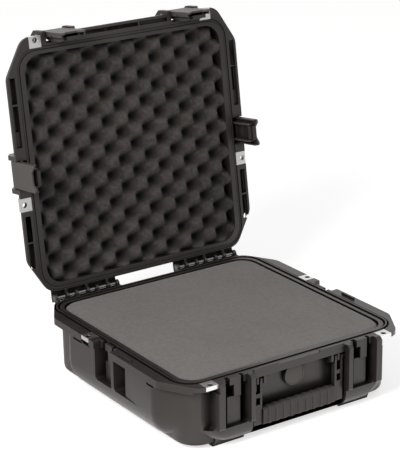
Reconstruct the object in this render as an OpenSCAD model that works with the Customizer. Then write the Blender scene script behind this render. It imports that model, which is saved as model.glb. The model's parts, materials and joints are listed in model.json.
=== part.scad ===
// Moulded equipment case, standing open. Millimetres, +Z up, front towards -Y.
// The origin is on the floor under the middle of the base.
// Lid pieces are drawn shut and then turned open about the hinge line.

/* [Inside] */
// Inside width at the rim
inner_w = 394; // [380:1:410]
// Inside depth, front to back, at the rim
inner_d = 394; // [380:1:410]
// Radius of the inside corners
inner_r = 30; // [24:1:40]
// Inside depth of the base, down to the floor
base_in = 106; // [104:1:130]
// Inside depth of the lid
lid_in = 51; // [44:1:70]
// How much narrower the inside is at its closed end, on each side
draft_in = 2.5; // [1:0.5:5]
// Thickness of the walls
wall = 4; // [3:0.25:5]
// Thickness of the floor and of the lid's top panel
panel_t = 5; // [4:0.5:7]

/* [Rim] */
// Overhang of the rim past the tub wall at the sides
rim_side = 30; // [29:0.5:34]
// Overhang of the rim past the tub wall at the front
rim_front = 26; // [25:0.5:30]
// Overhang of the rim past the tub wall at the back
rim_back = 9; // [8:0.5:11]
// Length of a front corner's cut along X
corner_x = 37; // [32:1:42]
// Length of a front corner's cut along Y
corner_y = 63; // [56:1:70]
// Size of a rear corner's cut against a front one
rear_corner = 0.95; // [0.7:0.05:1.1]
// Rounding of the rim's corners
corner_r = 26; // [18:1:30]
// Height of the base's rim band
base_rim_h = 12; // [11:0.5:14]
// Height of the lid's rim band
lid_rim_h = 10; // [9:0.5:12]
// Height of the rim band's wide edge
lid_edge_h = 5.5; // [5.5:0.5:7]
// Setback of the rim band above that edge
lid_setback = 4; // [3:0.5:4]
// Gap between the two rims when shut
rim_gap = 0.5; // [0.3:0.1:0.8]
// Width of the rim top that carries the seal, out from the tub wall
seal_band = 14; // [13:0.5:16]
// Width of the seal's groove in the lid
groove_w = 6; // [5:0.5:7]
// Depth of the seal's groove in the lid
groove_d = 6; // [5:0.5:7]
// Width of the base's ridge that presses on the seal
ridge_w = 2.5; // [2:0.5:3.5]
// Height of that ridge over the rim
ridge_h = 1.6; // [1:0.2:2.4]
// Width of the channel that holds this ridge, at the sides and at the front and back
channel_w = [10, 6.5]; // [6:0.5:11]
// Depth of that channel
channel_d = 6; // [3:0.5:7]
// Depth of the hollow between the lid's rim lip and its seal band
pocket_d = 4.5; // [3:0.5:5]
// Depth of the hollow's inner part, clear of the setback
pocket_deep = 8; // [6:0.5:8]
// Distance of the last side hollow in front of the rim's back edge
pocket_end = 40; // [38:1:60]
// Distance of the two front ribs from the middle
front_rib = 33.5; // [30:0.5:40]
// Thickness of the rim's outer lip
lip_t = 4.5; // [3:0.5:5]
// Spacing of the ribs across that hollow
rib_pitch = 47; // [40:1:60]
// Thickness of those ribs
rib_t = 3; // [2:0.5:4]
// Length of each raised lip on the front rim
keel_l = 50; // [40:1:50]
// Distance of each raised lip's outer end from the handle bay's side
keel_end = 2.5; // [1:0.5:6]
// Depth of the step in front of each raised lip
keel_slot = 2; // [1:0.5:4]
// Raised lips on the side rims: front and rear end
side_keel = [-80, -47]; // [-90:1:-40]
// Height of the raised lips
keel_h = 3.5; // [2:0.5:4.5]

/* [Base] */
// Height of the feet
foot_h = 7; // [5:0.5:9]
// Length of a foot along X
foot_l = 58; // [50:1:64]
// Width of a foot along Y, at the floor
foot_w = 40; // [30:1:50]
// Distance of a foot's outer edge inside the body's wall, at the floor
foot_in = 22; // [18:1:28]
// Distance of the body's walls inside the rim's edge
body_in = 3; // [2:0.5:4]
// Cut of the body's front corners, along X and Y
body_corner = [62, 76]; // [50:1:110]
// Cut of the body's rear corners, along X and Y
body_rear = [58, 100]; // [40:1:104]
// Rounding of the body's corners
body_r = 24; // [16:1:40]
// Rounding of the body's bottom edge at the sides
side_round = 48; // [40:1:62]
// Rounding of the body's bottom edge at the front and back
front_round = 24; // [16:1:40]
// Height of the front bays' floors at their outer edge
bay_floor = 38; // [34:1:44]
// Height of the side bays' floors at their outer edge
side_floor = 52; // [46:1:58]
// How much lower these floors are at the tub's wall
floor_drop = 2; // [0:0.5:6]
// Rounding of the lower corners of the bays
bay_round = 8; // [3:0.5:11]
// Slots under the rim at the sides: the front and rear end of each
rim_slots = [[-147, -129], [66, 93]]; // [-160:1:120]
// Height of these slots
slot_h = 6; // [4:0.5:9]
// Depth of these slots, in from the rim's edge
slot_d = 22; // [12:1:25]
// Length of the scoop in front of a side bay
scoop_l = 96; // [80:1:100]
// Length of that scoop's deep end
scoop_deep = 24; // [18:1:30]
// Depth of the rest of the scoop where it meets the deep end
scoop_d = 3.5; // [2:0.5:12]
// Extra thickness of the base tub's side walls
tub_side = 2; // [1:0.5:3]
// Extra thickness of the base tub's front wall
tub_front = 6; // [4:0.5:7]
// Extra thickness of the base tub's back wall
tub_back = 2; // [1:0.5:4]
// Rounding of the tub's bottom edge
base_round = 8; // [6:1:14]
// Rounding of the tub's upright corners
tub_r = 36; // [34:1:46]
// How much narrower the tub is at its bottom, on each side
draft_out = 1; // [0.5:0.5:2]

/* [Lid] */
// Angle of the open lid from shut
lid_open = 98; // [90:1:105]
// Rounding of the lid's top edge
lid_round = 16; // [10:1:20]
// Width of the raised frame on the lid's top
frame_w = 14; // [10:1:20]
// Height of the raised frame on the lid's top
frame_h = 3; // [2:0.5:4]

/* [Hinge] */
// Distance of the hinge line behind the rim's back edge
hinge_out = 12; // [11:0.5:14]
// Height of the hinge line over the base's rim
hinge_up = 0.75; // [0:0.25:1]
// Radius of the hinge pins
hinge_pin_r = 3; // [2.5:0.25:3.5]
// Radius of the knuckles
knuckle_r = 6.5; // [5.75:0.25:7.5]
// Thickness of a knuckle
knuckle_t = 5; // [4:0.5:6]
// Distance of a hinge's inner end from the tub's side
hinge_side = 140; // [130:1:150]
// Gap between the knuckles and the hood over them
hood_gap = 0.5; // [0.4:0.1:1]
// Thickness of the hood
hood_t = 2.75; // [2:0.25:3]
// Reach of the hood past the hinge line
hood_out = 8; // [6:0.5:9]
// Spaces between knuckles, short and long
knuckle_gaps = [16.5, 20.5]; // [12:0.5:24]
// Radial clearance of every pin in its bore
pin_play = 0.05; // [0.02:0.01:0.09]

/* [Latches] */
// Distance of the front latches in from the rim's sides
latch_side = 106; // [96:1:112]
// How far the front latches stand out past the rim
latch_proud = 4; // [1:0.5:6]
// How far the side latches sit in from the rim
latch_sunk = 2; // [0:0.5:4]
// Width of the bay between a latch's pillars
bay_w = 49; // [47:1:52]
// Width of a latch
latch_w = 47; // [43:1:48]
// Length of a latch below its pin
latch_l = 72; // [66:1:78]
// Thickness of a latch's face
face_t = 3.5; // [3:0.25:4]
// Setback of the face from the station's plane
face_in = 0.3; // [0.2:0.1:0.5]
// Thickness of the flanges along a latch's edges
flange_t = 2.5; // [2:0.25:3]
// Depth of those flanges behind the face
flange_d = 5; // [3:0.5:6]
// Depth of a latch's two inner webs
web_d = 17; // [15:0.5:18]
// Thickness of those webs
web_t = 3; // [2.5:0.25:3.5]
// Spacing of the webs, outside to outside
web_span = 33; // [31:0.5:35]
// Height of the latch pins over the shut rims
latch_pin_up = 20; // [17:0.5:24]
// Distance of the latch pins in from the face
latch_pin_in = 6.5; // [6:0.25:7.5]
// Radius of the latch pins
latch_pin_r = 2.5; // [2:0.25:3]
// Radius of a latch's barrel
barrel_r = 6; // [5.25:0.25:6.5]
// Width of a pillar beside a bay
pillar_w = 8; // [6:0.5:10]
// Width of the outer pillar of a front latch
outer_pillar_w = 11.5; // [10:0.5:20]
// Height of a lid cheek above the rim
cheek_h = 40; // [36:1:44]
// Height of the plate between two cheeks over the rim, and its thickness
bridge = [10.5, 3]; // [2:0.5:12]
// Distance of that plate in from the latch face
bridge_in = 17; // [16.5:0.5:19]
// Depth of the concave end of a latch
finger_notch = 7; // [4:1:9]
// Swing of a latch from shut to fully open
latch_swing = 110; // [100:1:115]

/* [Keepers and triggers] */
// Height of a keeper's lower edge above the floor
keeper_z = 85; // [80:1:90]
// Distance of a keeper in from the latch face
keeper_in = 11; // [10.75:0.25:13]
// Thickness of a keeper
keeper_t = 5; // [4:0.5:6]
// Width of a keeper, which ends at the same place on its right in both steps
keeper_w = [21, 13]; // [10:1:22]
// Height of a keeper's lower, narrow step
keeper_step = 22; // [16:1:26]
// Height of the trigger pins above the floor
trigger_z = 101; // [99:1:104]
// Radius of the trigger pins
trigger_pin_r = 1.5; // [1.25:0.25:2]
// Radius of a trigger's hub
trigger_hub_r = 3; // [2.75:0.25:3.25]
// Distance of the trigger pins in from the face
trigger_in = 7.2; // [7:0.1:7.5]
// Thickness of a trigger
trigger_t = 2.4; // [2:0.2:2.6]
// Reach of a trigger's hook under the keeper
hook_reach = 1.7; // [1:0.1:2]
// Gap between the latch and the block below the keeper
seat_gap = 1; // [0.8:0.1:1.5]
// Height of a trigger's hook
hook_h = 4.5; // [3:0.5:6]
// Angle that a trigger turns when pulled
trigger_pull = 6; // [5:0.5:6]
// Gap between the hook and the keeper above it
hook_gap = 1; // [0.9:0.1:1.5]
// Side clearance of a trigger between the webs
trigger_play = 0.6; // [0.4:0.1:1]
// Thickness of the leaf springs
leaf_t = 0.6; // [0.4:0.1:0.8]

/* [Handle] */
// Gap between an arm and the side of its bay
arm_room = 4.5; // [4:0.5:6]
// Gap between the grip and the floor of the bay
grip_room = 10; // [5:0.5:10]
// Height of the handle's pivot above the floor
handle_z = 98; // [97:0.5:101]
// Distance of the pivot out from the tub wall
handle_out = 14; // [13.5:0.5:15]
// Width of an arm
arm_w = 16; // [14:0.5:17]
// Thickness of an arm
arm_t = 9; // [8:0.5:10]
// Length of the arms, pivot to the middle of the grip
arm_l = 62; // [60:1:64]
// Height of the grip
grip_h = 30; // [26:1:32]
// Thickness of the grip
grip_t = 17; // [15:0.5:18]
// Wall of the rubber round the handle's bar
grip_wall = 3.5; // [3:0.25:4]
// Number of ribs on the grip
grip_ribs = 9; // [7:2:21]
// Radius of the handle's pins
handle_pin_r = 2.5; // [2:0.25:3]
// Thickness of the inner ears that carry the handle's pins
ear_t = 4.5; // [4:0.25:5]
// Width of the slot in each arm's upper end
fork_w = 8; // [7:0.5:9]
// Thickness of the lug in that slot
lug_t = 4.5; // [4:0.5:5]
// Gap between an arm and its ear
ear_gap = 3; // [2:0.25:3.5]
// Distance of the header's face out from the tub wall
header_out = 20; // [18.5:0.5:22]
// Swing of the handle from hanging
handle_swing = 90; // [80:1:95]

/* [Pressure valve] */
// Radius of the valve's cap
valve_r = 19; // [16:0.5:20]
// Height of the valve above the floor
valve_z = 86; // [82:1:88]
// Thickness of the valve's cap
valve_t = 6; // [4:0.5:6]
// Width and height of the raised edge round the cap's face
valve_edge = [2, 0.8]; // [0.5:0.1:3]
// Radius of the valve's neck
neck_r = 9; // [7:0.5:11]

/* [Padlock eyes] */
// Distance of the front eyes in from the rim's sides
eye_side = 60; // [56:1:62]
// Distance of the side eyes behind the middle
eye_y = 51; // [48:1:56]
// Width of an eye's steel clip
eye_w = 23; // [20:1:24]
// Depth of the clip
eye_d = 20; // [18:1:20.5]
// Thickness of the clip's steel
eye_t = 1.2; // [1:0.1:1.5]
// Radius of the hole for the shackle
eye_r = 4.5; // [4:0.25:5]
// Distance of the hole in from the rim's edge
eye_in = 7; // [6.5:0.25:8]
// Height of the clips on the base
eye_h = 7.5; // [7:0.5:10]
// Height of the recess for the padlock below the base's rim
eye_recess = 4; // [3:1:12]
// Gap between a clip and the moulding
eye_gap = 0.3; // [0.3:0.1:0.5]

/* [Foam] */
// Thickness of the bottom pad
pad_bottom = 20; // [15:1:30]
// Thickness of the middle pad
pad_middle = 50; // [40:1:55]
// Side clearance of the pads
pad_gap = 0.4; // [0.3:0.1:1]
// Thickness of the lid foam's backing
crate_back = 18; // [12:1:24]
// Half waves of the lid foam along X and Y
crate_pitch = [26.6, 23.9]; // [20:0.1:32]
// Steps of the lid foam's mesh along X and Y
crate_steps = [44, 48]; // [30:1:52]
// How far the flat back of the lid foam is drawn in from its face
crate_in = 9; // [6:1:12]

/* [Hidden] */
$fn = 48;

shell_black = "#3c3a39";
latch_grey = "#4a4847";
steel = "#c9c9c6";
rubber_black = "#2b2a29";
foam_grey = "#666463";
foam_charcoal = "#393736";

eps = 0.01;
far = 400;

// Plan of the case
tub_x = inner_w / 2 + wall;
tub_y = inner_d / 2 + wall;
half_w = tub_x + rim_side;
front_y = -tub_y - rim_front;
back_y = tub_y + rim_back;
corner_len = norm([corner_x, corner_y]);
latch_x = half_w - latch_side;
eye_x = half_w - eye_side;
handle_bay = latch_x - bay_w / 2 - pillar_w;
arm_x = handle_bay - arm_room - arm_w / 2;
keel_x = handle_bay - keel_end - keel_l;
hinge_in = tub_x - hinge_side;
grip_z = handle_z - arm_l;
handle_floor = grip_z - grip_h / 2 - grip_room;

// Heights of the shut case
floor_z = foot_h + panel_t;
rim_z = floor_z + base_in;
lid_z = rim_z + rim_gap;
lid_top = lid_z + lid_in + panel_t;
rim_foot = rim_z - base_rim_h;
hinge_y = back_y + hinge_out;
body_half = half_w - body_in;
side_depth = rim_side - latch_sunk - tub_side;
scoop_x = bay_w / 2 + pillar_w;
bay_out = 6;
body_front = front_y + body_in;
body_back = back_y - body_in;
hinge_z = rim_z + hinge_up;

// Latch heights
latch_pin_z = lid_z + latch_pin_up;
latch_end_z = latch_pin_z - latch_l;
hook_top = keeper_z - hook_gap;
web_in = web_span / 2 - web_t;
trigger_half = web_in - trigger_play;
notch_half = web_span / 2 + 1;

// ---- Outlines ----

function unit(v) = v / norm(v);

// The corners of a polygon rounded to radius r, each by n chords
function rounded(pts, r, n = 6) = [
    for (i = [0 : len(pts) - 1])
        let (p = pts[i],
            a = unit(pts[(i + len(pts) - 1) % len(pts)] - p),
            b = unit(pts[(i + 1) % len(pts)] - p),
            half = acos(max(-1, min(1, a * b))) / 2,
            centre = p + unit(a + b) * r / sin(half),
            from = p + a * r / tan(half) - centre,
            start = atan2(from.y, from.x),
            turn = sign(cross(b, a)) * (180 - 2 * half))
        for (k = [0 : n]) centre + r * [cos(start + turn * k / n), sin(start + turn * k / n)]
];

// A rectangle from [x0, y0] to [x1, y1]
function box_pts(x0, y0, x1, y1) = [[x1, y0], [x1, y1], [x0, y1], [x0, y0]];

// The rim's outline, moved in by t
function rim_outline(t) =
    let (shrink = 1 - t * (corner_x + corner_y - corner_len) / (corner_x * corner_y),
        x = half_w - t, f = front_y + t, b = back_y - t,
        fx = corner_x * shrink, fy = corner_y * shrink,
        bx = corner_x * (rear_corner - 1 + shrink), by = corner_y * (rear_corner - 1 + shrink))
    rounded([[x, f + fy], [x, b - by], [x - bx, b], [bx - x, b],
        [-x, b - by], [-x, f + fy], [fx - x, f], [x - fx, f]], max(8, corner_r - t / 2), 4);

// A centred rectangle with rounded corners
function tray(x, y, r, n = 6) = rounded(box_pts(-x, -y, x, y), r, n);

module slab(pts, z0, z1) {
    translate([0, 0, z0]) linear_extrude(z1 - z0) polygon(pts);
}

module ring(outer, inner, z0, z1) {
    translate([0, 0, z0]) linear_extrude(z1 - z0) difference() {
        polygon(outer);
        polygon(inner);
    }
}

// A block given by its two corners
module block(a, b) {
    translate(a) cube(b - a);
}

// A rod along X
module rod(r, x0, x1, y, z) {
    translate([x0, y, z]) rotate([0, 90, 0]) cylinder(r = r, h = x1 - x0);
}

// A profile in Y and Z, drawn from x0 to x1
module rail(x0, x1, pts) {
    translate([x0, 0, 0]) rotate([90, 0, 90]) linear_extrude(x1 - x0) polygon(pts);
}

module both_sides() {
    children();
    mirror([1, 0, 0]) children();
}

// Turns lid pieces from shut to open
module opened() {
    translate([0, hinge_y, hinge_z]) rotate([-lid_open, 0, 0]) translate([0, -hinge_y, -hinge_z])
        children();
}

// ---- Latch stations: 0 front left, 1 front right, 2 left, 3 right ----
// In a station's own frame the latch face is at y = 0, +y points in, and x = 0 is its middle.

function station_turn(i) = [0, 0, -90, 90][i];
function station_place(i) = [[-latch_x, front_y - latch_proud, 0], [latch_x, front_y - latch_proud, 0],
    [latch_sunk - half_w, 0, 0], [half_w - latch_sunk, 0, 0]][i];
function station_depth(i) = i < 2 ? rim_front + latch_proud : rim_side - latch_sunk;

module station(i) {
    translate(station_place(i)) rotate([0, 0, station_turn(i)]) children();
}

module stations() {
    for (i = [0 : 3]) station(i) children();
}

// ---- Padlock eyes: 0 and 1 front, 2 and 3 sides; the rim's edge is at y = 0, +y points in ----

module eye_place(i) {
    place = [[-eye_x, front_y, 0], [eye_x, front_y, 0], [-half_w, eye_y, 0], [half_w, eye_y, 0]][i];
    translate(place) rotate([0, 0, station_turn(i)]) children();
}

// ---- Base ----

module tub(x, y, r, z_open, z_shut, draft, round_r) {
    up = sign(z_open - z_shut);
    hull() {
        slab(tray(x, y, r), min(z_open, z_open - up), max(z_open, z_open - up));
        for (a = [0, 22.5, 45, 67.5, 90]) {
            in = draft + round_r * (1 - cos(a));
            z = z_shut + up * round_r * (1 - sin(a));
            translate([0, 0, z - eps]) linear_extrude(2 * eps)
                polygon(tray(x - in, y - in, max(6, r - in)));
        }
    }
}

// Uprights beside a latch bay, in the station's frame
module pillar(x0, x1, depth, z) {
    rail(x0, x1, rounded([[depth + wall / 2, z - 12], [depth + wall / 2, rim_z - 1],
        [0, rim_z - 1], [0, z + 2]], 4, 3));
}

module pillars(i) {
    depth = station_depth(i);
    outer = i < 2 ? outer_pillar_w : pillar_w;
    left_w = i == 0 ? outer : pillar_w;
    right_w = i == 1 ? outer : pillar_w;
    z = i < 2 ? bay_floor : side_floor;
    station(i) {
        pillar(-bay_w / 2 - left_w, -bay_w / 2, depth, z);
        pillar(bay_w / 2, bay_w / 2 + right_w, depth, z);
    }
}

// The stepped plate that a latch hooks under, and the block below it
module keeper(depth, z) {
    half = web_in - seat_gap;
    block([-half, keeper_in + hook_reach + seat_gap, z - floor_drop - 1],
        [half, depth + wall / 2, keeper_z + 1]);
    right = keeper_w[0] / 2 + 1.5;
    for (step = [[keeper_w[0], keeper_z + keeper_step], [keeper_w[1], keeper_z]])
        block([right - step[0], keeper_in, step[1]], [right, keeper_in + keeper_t, rim_z - 1]);
    block([right - keeper_w[0], keeper_in, rim_foot], [right, depth + wall / 2, rim_z - 1]);
}

// What a latch's face and webs need, cut out of the rims
module latch_room(z0, z1, depth) {
    block([-bay_w / 2, -10, z0], [bay_w / 2, keeper_in, z1]);
    both_sides() block([keeper_w[0] / 2 + 1.5, -10, z0], [notch_half, web_d + 2, z1]);
    block([-notch_half, -10, z0], [1.5 - keeper_w[0] / 2, web_d + 2, z1]);
}

// The feet, whose outer faces run up into the body's rounded edge, and a low pad in the middle
module feet() {
    slab(tray(foot_l / 2, foot_w / 2, 8), 0, floor_z - 1);
    for (x = [-latch_x, latch_x], side = [-1, 1]) {
        y = side < 0 ? body_front + foot_in : body_back - foot_in;
        rail(x - foot_l / 2, x + foot_l / 2, rounded([[y, 0], [y - side * foot_w, 0],
            [y - side * foot_w, floor_z], [y + side * foot_in / 2, floor_z + foot_h + 6]], 3, 3));
    }
}

// Drop of a rounded edge of radius r at height z over the edge's lowest line
function edge_in(r, z) = z >= r ? 0 : r - sqrt(r * r - (r - z) * (r - z));

// The body's outline in plan, moved in by x and y
function body_outline(x, y) =
    let (w = body_half - x, f = body_front + y, b = body_back - y, c = body_corner, r = body_rear)
    rounded([[w, f + c.y], [w, b - r.y], [w - r.x, b], [r.x - w, b],
        [-w, b - r.y], [-w, f + c.y], [c.x - w, f], [w - c.x, f]], body_r, 5);

// The body that stands out to the rim, with its bays and scoops
module body() {
    difference() {
        translate([0, (tub_back - tub_front) / 2, 0])
            tub(tub_x + tub_side, tub_y + (tub_front + tub_back) / 2, tub_r + 4, rim_z - 1, foot_h,
                draft_out, base_round);
        block([-handle_bay, front_y - 1, handle_floor], [handle_bay, -tub_y, rim_z - 2]);
        both_sides() station(1) bay(-bay_w / 2, bay_w / 2, station_depth(1), bay_floor);
    }
    difference() {
        hull() {
            slab(body_outline(0, 0), rim_z - 3, rim_z - 2);
            for (k = [0, 0.05, 0.15, 0.3, 0.5, 0.72, 1]) {
                z = side_round * k;
                translate([0, 0, foot_h + z]) linear_extrude(eps)
                    polygon(body_outline(edge_in(side_round, z), edge_in(front_round, z)));
            }
        }
        both_sides() {
            // bays of the front latches, and scoops below the padlock eyes
            station(1) {
                bay(-bay_w / 2, bay_w / 2, station_depth(1), bay_floor);
                bay(bay_w / 2 + outer_pillar_w, half_w - latch_x, station_depth(1) - tub_front, bay_floor);
            }
            // bays of the side latches, and long scoops in front of them
            station(3) {
                bay(-bay_w / 2, bay_w / 2, side_depth, side_floor);
                intersection() {
                    bay(-scoop_x - scoop_l, -scoop_x, side_depth, side_floor);
                    slab([[-scoop_x, -bay_out], [-scoop_x, side_depth], [-scoop_x - scoop_deep, side_depth],
                        [-scoop_x - scoop_deep - 6, scoop_d], [-scoop_x - scoop_l, 0]], floor_z, rim_z);
                }
            }
            // slots under the rim
            for (y = rim_slots)
                block([half_w - slot_d, y[0], rim_foot - slot_h], [half_w + 1, y[1], rim_foot]);
        }
        block([-handle_bay, front_y - 1, handle_floor], [handle_bay, -tub_y, rim_z + 1]);
    }
}

// A bay in a station's frame, open outwards, with a floor that slopes down a little to the tub's wall
// and rounded lower corners
module bay(x0, x1, depth, z) {
    intersection() {
        rail(x0, x1, [[-bay_out, z + floor_drop * bay_out / depth], [depth, z - floor_drop],
            [depth, rim_z + 20], [-bay_out, rim_z + 20]]);
        translate([0, depth, 0]) rotate([90, 0, 0]) linear_extrude(depth + bay_out)
            polygon(rounded(box_pts(x0, z - floor_drop, x1, rim_z + 20), bay_round, 5));
    }
}

function knuckle_x() = [for (i = [0 : 6]) hinge_in + knuckle_t / 2
    + floor((i + 1) / 2) * knuckle_gaps[0] + floor(i / 2) * knuckle_gaps[1] + 2 * i];

hinge_end = knuckle_x()[6] + knuckle_t / 2;

// A band of width w round the tub, w[0] at the sides and w[1] at the front and back
module seal_ring(w, z0, z1) {
    x = tub_x + seal_band / 2;
    y = tub_y + rim_back / 2;
    ring(tray(x + w[0] / 2, y + w[1] / 2, tub_r + w[1] / 2 - 1),
        tray(x - w[0] / 2, y - w[1] / 2, tub_r - w[1] / 2 - 1), z0, z1);
}

// Knuckles on both hinges; odd ones belong to the lid
module knuckles(odd, z_root) {
    both_sides() for (i = [odd : 2 : 6]) {
        x = knuckle_x()[i];
        rod(knuckle_r, x - knuckle_t / 2, x + knuckle_t / 2, hinge_y, hinge_z);
        rail(x - knuckle_t / 2, x + knuckle_t / 2, [[back_y - 4, z_root[0]], [back_y - 4, z_root[1]],
            [hinge_y, hinge_z + (odd ? knuckle_r : 0)], [hinge_y, hinge_z - (odd ? 0 : knuckle_r)]]);
    }
}

module hinge_bores() {
    both_sides() rod(hinge_pin_r + pin_play, hinge_in - 1, hinge_end + 1, hinge_y, hinge_z);
}

// What the clips and a padlock need; z2 is the lower end of the recess
module eye_seats(z0, z1, z2) {
    half = eye_w / 2 + eye_gap;
    for (i = [0 : 3]) eye_place(i) {
        block([-half, -5, z2], [half, eye_in + 6, z1 + 1]);
        for (z = [z0, z1])
            block([-half, -5, z - eye_t - eye_gap], [half, eye_d + eye_gap, z + eye_t + eye_gap]);
    }
}

// A steel clip folded over the rim's edge, with the shackle's hole through both legs
module eye_clip(z0, z1) {
    difference() {
        block([-eye_w / 2, eye_gap, z0 + eye_gap], [eye_w / 2, eye_d, z1 - eye_gap]);
        block([-eye_w, eye_gap + eye_t, z0 + eye_gap + eye_t], [eye_w, eye_d + 1, z1 - eye_gap - eye_t]);
        translate([0, eye_in, z0 - 1]) cylinder(r = eye_r, h = z1 - z0 + 2);
    }
}

arm_side = arm_x + arm_w / 2;
arm_inner = arm_x - arm_w / 2;
handle_y = -tub_y - handle_out;

module handle_ears() {
    both_sides() rail(arm_inner - ear_gap - ear_t, arm_inner - ear_gap,
        rounded([[-tub_y + wall / 2, handle_z - 12], [-tub_y + wall / 2, rim_foot + 2],
            [handle_y - 5, rim_foot + 2], [handle_y - 5, handle_z - 5]], 3, 3));
    both_sides() rail(arm_x - lug_t / 2, arm_x + lug_t / 2,
        rounded([[-tub_y + wall / 2, handle_z - 10], [-tub_y + wall / 2, rim_foot + 2],
            [handle_y - 4, rim_foot + 2], [handle_y - 4, handle_z - 6]], 3, 3));
}

module base_shell() color(shell_black) difference() {
    union() {
        body();
        difference() {
            slab(rim_outline(0), rim_foot, rim_z);
            for (i = [0 : 3]) station(i) latch_room(rim_foot - 1, rim_z + 1, 0);
            block([-handle_bay, front_y - 1, rim_foot - 1],
                [handle_bay, -tub_y - header_out, rim_z + 1]);
            both_sides() eye_place(1) block([0, -1, rim_foot - 1], [eye_side, eye_in + 6, rim_z - eye_h]);
        }
        seal_ring([ridge_w, ridge_w], rim_z - 1, rim_z + ridge_h);
        for (i = [0 : 3]) pillars(i);
        for (i = [0 : 3]) station(i) keeper(station_depth(i), i < 2 ? bay_floor : side_floor);
        both_sides() slab(rounded(box_pts(keel_x, front_y + lip_t + 0.8, keel_x + keel_l,
            front_y + lip_t + 5), 2, 3), rim_z - keel_slot - 1, rim_z + keel_h);
        both_sides() slab(rounded(box_pts(half_w - lip_t - 5, side_keel[0], half_w - lip_t - 0.8,
            side_keel[1]), 2, 3), rim_z - 1, rim_z + keel_h);
        feet();
        handle_ears();
        knuckles(0, [rim_foot, rim_z]);
    }
    tub(inner_w / 2, inner_d / 2, inner_r, rim_z + 20, floor_z, draft_in, 8);
    difference() {
        seal_ring(channel_w, rim_z - channel_d, rim_z + 1);
        seal_ring([ridge_w, ridge_w], rim_z - channel_d - 1, rim_z + 2);
    }
    both_sides() block([keel_x, front_y - 1, rim_z - keel_slot],
        [keel_x + keel_l, front_y + lip_t + 0.8, rim_z + 1]);
    eye_seats(rim_z - eye_h, rim_z, rim_foot - eye_recess);
    hinge_bores();
    both_sides() rod(handle_pin_r + pin_play, arm_inner - 20, handle_bay + pillar_w / 2, handle_y, handle_z);
    translate([0, -tub_y + wall + 2, valve_z]) rotate([90, 0, 0])
        cylinder(r = neck_r + pin_play, h = wall + 4);
}

module base_padlock_clips() color(steel)
    for (i = [0 : 3]) eye_place(i) eye_clip(rim_z - eye_h, rim_z);

module foam_pad(z0, z1) {
    in = pad_gap + draft_in * (rim_z - z0) / base_in;
    slab(tray(inner_w / 2 - in, inner_d / 2 - in, inner_r, 5), z0, z1);
}

pad_z = floor_z + pad_bottom;
pad_top_z = pad_z + pad_middle;

module foam_bottom_pad() color(foam_grey) difference() {
    hull() {
        slab(tray(inner_w / 2 - draft_in - 10, inner_d / 2 - draft_in - 10, inner_r - 8, 5),
            floor_z + 0.2, floor_z + 1);
        foam_pad(floor_z + 10, pad_z - 0.2);
    }
}
module foam_middle_pad() color(foam_grey) difference() {
    foam_pad(pad_z, pad_top_z - 0.2);
    valve_room();
}
module foam_top_pad() color(foam_grey) difference() {
    foam_pad(pad_top_z, rim_z - 0.3);
    valve_room();
}

// ---- Pressure valve ----

module valve_at(y) {
    translate([0, y, valve_z]) rotate([90, 0, 0]) children();
}

module valve_room() {
    valve_at(-tub_y + wall + 6.5) cylinder(r = neck_r + 7, h = 10);
}

module valve_cap() color(latch_grey) {
    valve_at(-tub_y - 1) difference() {
        cylinder(r = valve_r, h = valve_t);
        translate([0, 0, valve_t - valve_edge[1]]) cylinder(r = valve_r - valve_edge[0], h = valve_t);
    }
    valve_at(-tub_y + wall + 5.5) cylinder(r = neck_r, h = wall + 6.5 + eps);
}

module valve_seal() color(rubber_black) valve_at(-tub_y) difference() {
    cylinder(r = neck_r + 4, h = 1);
    translate([0, 0, -1]) cylinder(r = neck_r + pin_play, h = 3);
}

module valve_nut() color(shell_black) valve_at(-tub_y + wall + 4.5) difference() {
    cylinder(r = neck_r + 5, h = 2.8, $fn = 6);
    translate([0, 0, -1]) cylinder(r = neck_r + pin_play, h = 6);
}

// ---- Handle ----

module handle_frame() color(shell_black) difference() {
    union() {
        both_sides() {
            rod(arm_t / 2 + 1, arm_inner, arm_side, handle_y, handle_z);
            difference() {
                rail(arm_inner, arm_side, rounded([[handle_y + arm_t / 2, grip_z - grip_h / 2 + 2],
                    [handle_y + arm_t / 2, handle_z], [handle_y - arm_t / 2, handle_z],
                    [handle_y - arm_t / 2, grip_z - grip_h / 2 + 2]], 2, 3));
                block([arm_x - arm_w / 4, handle_y - arm_t, grip_z + 22],
                    [arm_x + arm_w / 4, handle_y + arm_t, grip_z + 34]);
            }
        }
        rail(-arm_inner - 1, arm_inner + 1, bar_profile(0));
    }
    both_sides() {
        rod(handle_pin_r + pin_play, arm_inner - 1, arm_side + 1, handle_y, handle_z);
        block([arm_x - fork_w / 2, handle_y - arm_t, grip_z + 41],
            [arm_x + fork_w / 2, handle_y + arm_t, handle_z + arm_t]);
    }
}

// The handle's bar in Y and Z, thickened by t
function bar_profile(t) = rounded(box_pts(handle_y - grip_t / 2 + grip_wall - t,
    grip_z - grip_h / 2 + grip_wall - t, handle_y + grip_t / 2 - grip_wall + t,
    grip_z + grip_h / 2 - grip_wall + t), 2.5 + t, 4);

module handle_grip() color(rubber_black) difference() {
    union() {
        rail(-arm_inner + 0.3, arm_inner - 0.3, bar_profile(grip_wall - 0.8));
        pitch = (2 * arm_inner - 12) / grip_ribs;
        for (i = [0 : grip_ribs - 1]) {
            x = -arm_inner + 6 + pitch * (i + 0.25);
            rail(x, x + pitch / 2, bar_profile(grip_wall));
        }
    }
    rail(-arm_inner - 1, arm_inner + 1, bar_profile(0));
}

module handle_pins() color(steel) both_sides()
    rod(handle_pin_r, arm_inner - ear_gap - ear_t, handle_bay + pillar_w / 2 - 0.3, handle_y, handle_z);

// ---- Hinge pins ----

module hinge_pin() color(steel) rod(hinge_pin_r, hinge_in, hinge_end, hinge_y, hinge_z);

module hinge_pin_left() mirror([1, 0, 0]) hinge_pin();
module hinge_pin_right() hinge_pin();

// ---- Lid, drawn shut ----

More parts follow.
